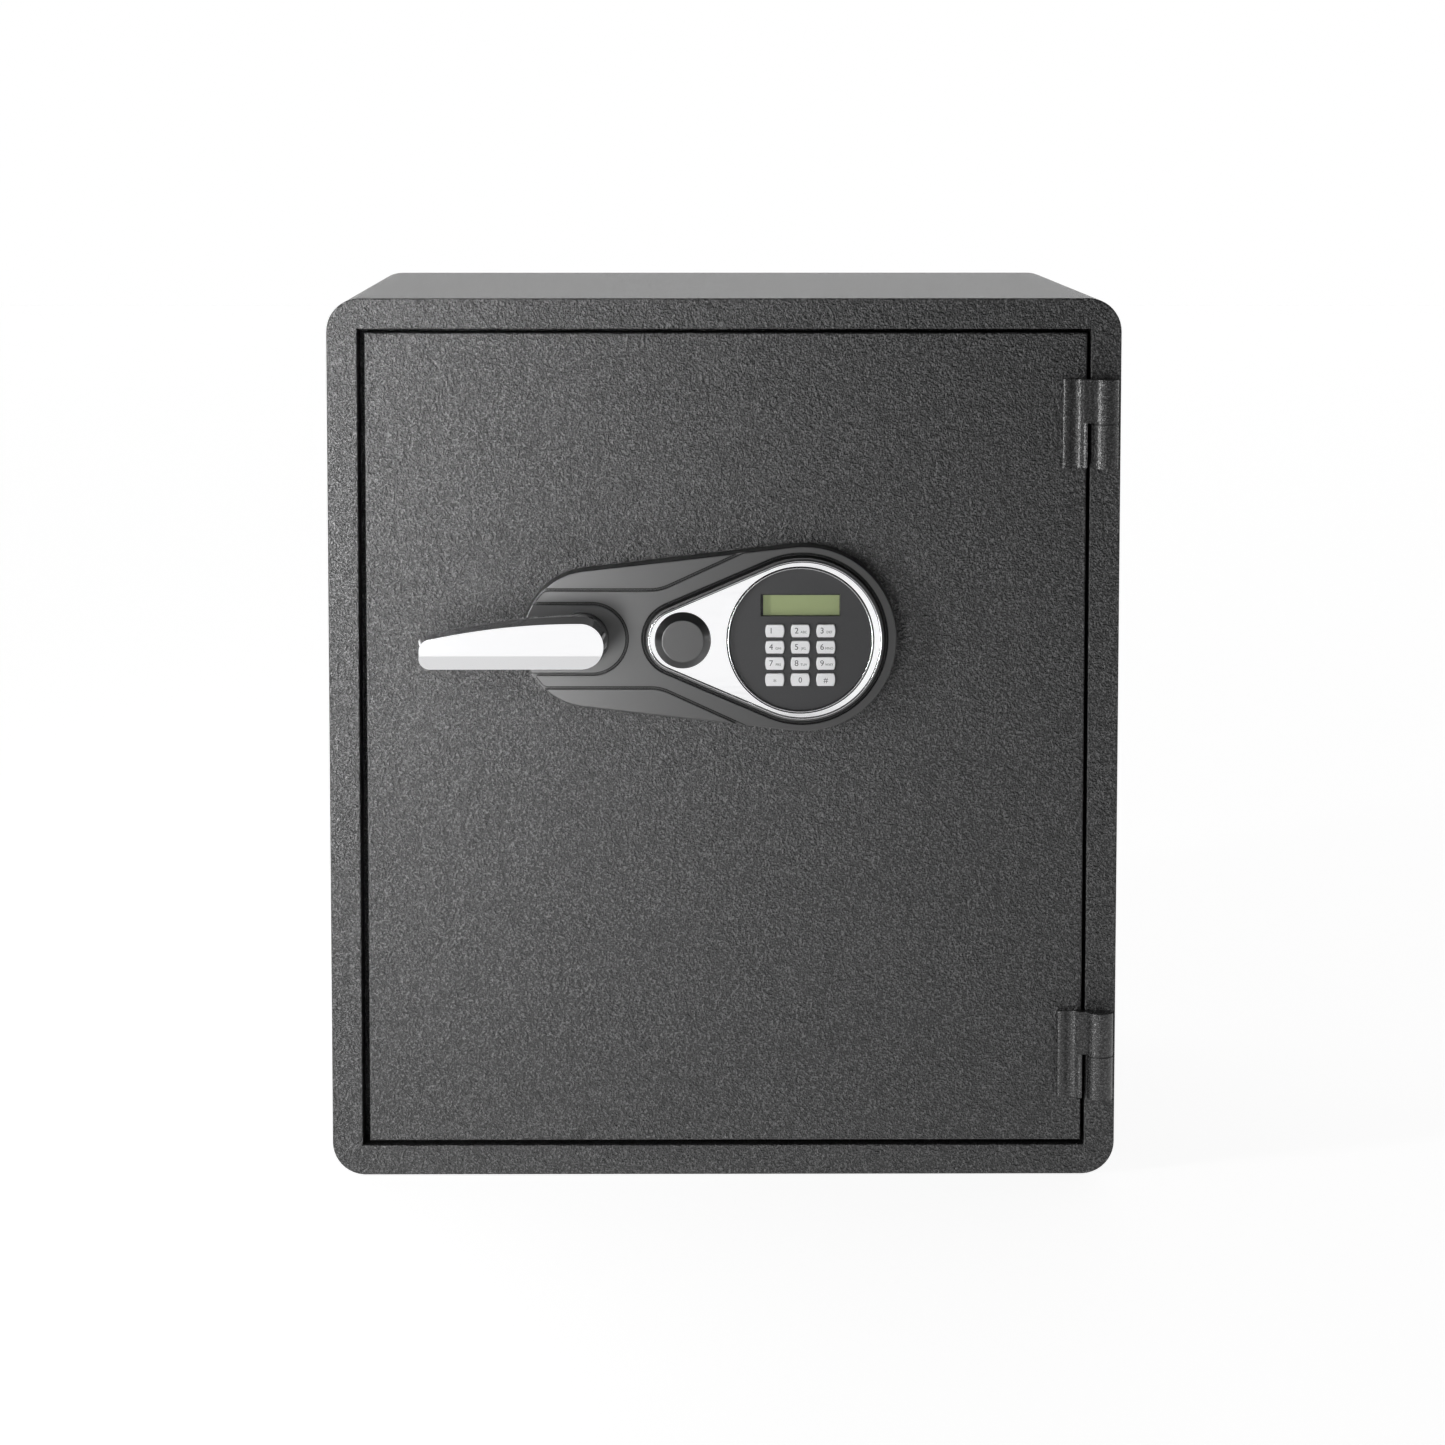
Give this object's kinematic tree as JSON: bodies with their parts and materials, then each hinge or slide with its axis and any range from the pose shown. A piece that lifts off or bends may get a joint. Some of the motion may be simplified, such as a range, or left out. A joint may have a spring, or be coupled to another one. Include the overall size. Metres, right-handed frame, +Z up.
{
  "type": "electronic cabinet safe",
  "caption": "Free-standing fire-resistant steel safe with a flush hinged door, keypad lock, chrome lever handle, boltwork and one shelf.",
  "frame": {"origin": "middle of the cabinet's underside, halfway between the front face and the back panel", "axes": "+X to the hinge side, -Y out of the door's front, +Z up"},
  "size_m": [0.44, 0.49, 0.493],
  "materials": {
    "body_paint": "charcoal textured powder coat, fine hammered grain, semi-gloss",
    "inner_paint": "light grey smooth powder coat",
    "fill": "cast mineral fill, chalky",
    "plated_steel": "zinc plated",
    "polished_chrome": "polished chrome",
    "housing_plastic": "black satin moulded plastic",
    "panel_plastic": "black fine matt plastic",
    "key_plastic": "light silver plastic",
    "display_glass": "clear window",
    "display_face": "grey-green liquid crystal, blank",
    "silicone": "translucent grey silicone",
    "board": "green solder mask",
    "brass_core": "nickel-brass lock",
    "copper_coil": "wound copper wire under tape",
    "seal": "black foam strip",
    "battery": "plain printed cell sleeve",
    "black_plastic": "black moulded plastic"
  },
  "bodies": {
    "cabinet": {"outer_shell": "body_paint", "front_frame": "body_paint", "strike_plate": "plated_steel", "back_panel": "body_paint", "cabinet_liner": "inner_paint", "anchor_sleeves": "plated_steel", "cabinet_insulation": "fill", "shelf": "inner_paint", "shelf_clips": "plated_steel", "frame_knuckles": "body_paint", "hinge_pins": "plated_steel", "hinge_washers": "black_plastic"},
    "door": {"door_skin": "body_paint", "door_core": "fill", "door_back_plate": "plated_steel", "door_inner_cover": "inner_paint", "inner_cover_screws": "plated_steel", "housing_screws": "plated_steel", "door_seal": "seal", "hinge_leaf_upper": "body_paint", "hinge_leaf_lower": "body_paint", "hinge_side_dogs": "plated_steel", "bolt_guide": "plated_steel", "spindle_rear_bush": "brass_core", "handle_collar": "housing_plastic", "lock_housing": "housing_plastic", "chrome_bezel": "polished_chrome", "keypad_panel": "panel_plastic", "display_lens": "display_glass", "display_module": "display_face", "keypad_mat": "silicone", "circuit_board": "board", "override_cylinder": "brass_core", "solenoid_frame": "plated_steel", "solenoid_coil": "copper_coil", "plunger_spring": "plated_steel", "battery_holder": "black_plastic", "batteries": "battery"},
    "handle": {"lever_handle": "polished_chrome", "handle_spindle": "plated_steel", "handle_crank": "plated_steel"},
    "bolts": {"bolt_carriage": "plated_steel", "locking_bolts": "plated_steel"},
    "plunger": {"solenoid_plunger": "plated_steel"},
    "key_core": {"override_plug": "brass_core", "override_cam": "plated_steel"},
    "key_cover": {"override_cap": "housing_plastic"},
    "battery_flap": {"battery_door": "black_plastic"},
    "button_1": {"key_1": "key_plastic"},
    "button_2": {"key_2": "key_plastic"},
    "button_3": {"key_3": "key_plastic"},
    "button_4": {"key_4": "key_plastic"},
    "button_5": {"key_5": "key_plastic"},
    "button_6": {"key_6": "key_plastic"},
    "button_7": {"key_7": "key_plastic"},
    "button_8": {"key_8": "key_plastic"},
    "button_9": {"key_9": "key_plastic"},
    "button_star": {"key_star": "key_plastic"},
    "button_0": {"key_0": "key_plastic"},
    "button_hash": {"key_hash": "key_plastic"}
  },
  "joints": [
    {"name": "door_hinge", "type": "hinge", "parent": "cabinet", "child": "door", "pos_m": [0.211, -0.2225, 0.2465], "axis": [0, 0, 1], "range_deg": [0, 170]},
    {"name": "handle_turn", "type": "hinge", "parent": "door", "child": "handle", "pos_m": [-0.079, -0.215, 0.305], "axis": [0, 1, 0], "range_deg": [0, 60]},
    {"name": "bolt_throw", "type": "slide", "parent": "door", "child": "bolts", "axis": [-1, 0, 0], "range_m": [0, 0.02]},
    {"name": "plunger_pull", "type": "slide", "parent": "door", "child": "plunger", "axis": [0, 0, -1], "range_m": [0, 0.003], "stiffness_N_per_m": 300, "springref_m": -0.002, "deforming": ["plunger_spring"]},
    {"name": "key_core_turn", "type": "hinge", "parent": "door", "child": "key_core", "pos_m": [-0.023, -0.215, 0.305], "axis": [0, 1, 0], "range_deg": [0, 90]},
    {"name": "key_cover_pull", "type": "slide", "parent": "door", "child": "key_cover", "axis": [0, -1, 0], "range_m": [0, 0.02]},
    {"name": "battery_flap_hinge", "type": "hinge", "parent": "door", "child": "battery_flap", "pos_m": [0, -0.1359, 0.119], "axis": [-1, 0, 0], "range_deg": [0, 100]},
    {"name": "press_1", "type": "slide", "parent": "door", "child": "button_1", "axis": [0, 1, 0], "range_m": [0, 0.001], "stiffness_N_per_m": 600, "springref_m": -0.0003},
    {"name": "press_2", "type": "slide", "parent": "door", "child": "button_2", "axis": [0, 1, 0], "range_m": [0, 0.001], "stiffness_N_per_m": 600, "springref_m": -0.0003},
    {"name": "press_3", "type": "slide", "parent": "door", "child": "button_3", "axis": [0, 1, 0], "range_m": [0, 0.001], "stiffness_N_per_m": 600, "springref_m": -0.0003},
    {"name": "press_4", "type": "slide", "parent": "door", "child": "button_4", "axis": [0, 1, 0], "range_m": [0, 0.001], "stiffness_N_per_m": 600, "springref_m": -0.0003},
    {"name": "press_5", "type": "slide", "parent": "door", "child": "button_5", "axis": [0, 1, 0], "range_m": [0, 0.001], "stiffness_N_per_m": 600, "springref_m": -0.0003},
    {"name": "press_6", "type": "slide", "parent": "door", "child": "button_6", "axis": [0, 1, 0], "range_m": [0, 0.001], "stiffness_N_per_m": 600, "springref_m": -0.0003},
    {"name": "press_7", "type": "slide", "parent": "door", "child": "button_7", "axis": [0, 1, 0], "range_m": [0, 0.001], "stiffness_N_per_m": 600, "springref_m": -0.0003},
    {"name": "press_8", "type": "slide", "parent": "door", "child": "button_8", "axis": [0, 1, 0], "range_m": [0, 0.001], "stiffness_N_per_m": 600, "springref_m": -0.0003},
    {"name": "press_9", "type": "slide", "parent": "door", "child": "button_9", "axis": [0, 1, 0], "range_m": [0, 0.001], "stiffness_N_per_m": 600, "springref_m": -0.0003},
    {"name": "press_star", "type": "slide", "parent": "door", "child": "button_star", "axis": [0, 1, 0], "range_m": [0, 0.001], "stiffness_N_per_m": 600, "springref_m": -0.0003},
    {"name": "press_0", "type": "slide", "parent": "door", "child": "button_0", "axis": [0, 1, 0], "range_m": [0, 0.001], "stiffness_N_per_m": 600, "springref_m": -0.0003},
    {"name": "press_hash", "type": "slide", "parent": "door", "child": "button_hash", "axis": [0, 1, 0], "range_m": [0, 0.001], "stiffness_N_per_m": 600, "springref_m": -0.0003}
  ],
  "couplings": [
    {"joint": "bolt_throw", "follows": "handle_turn", "m_per_rad": 0.019099}
  ]
}
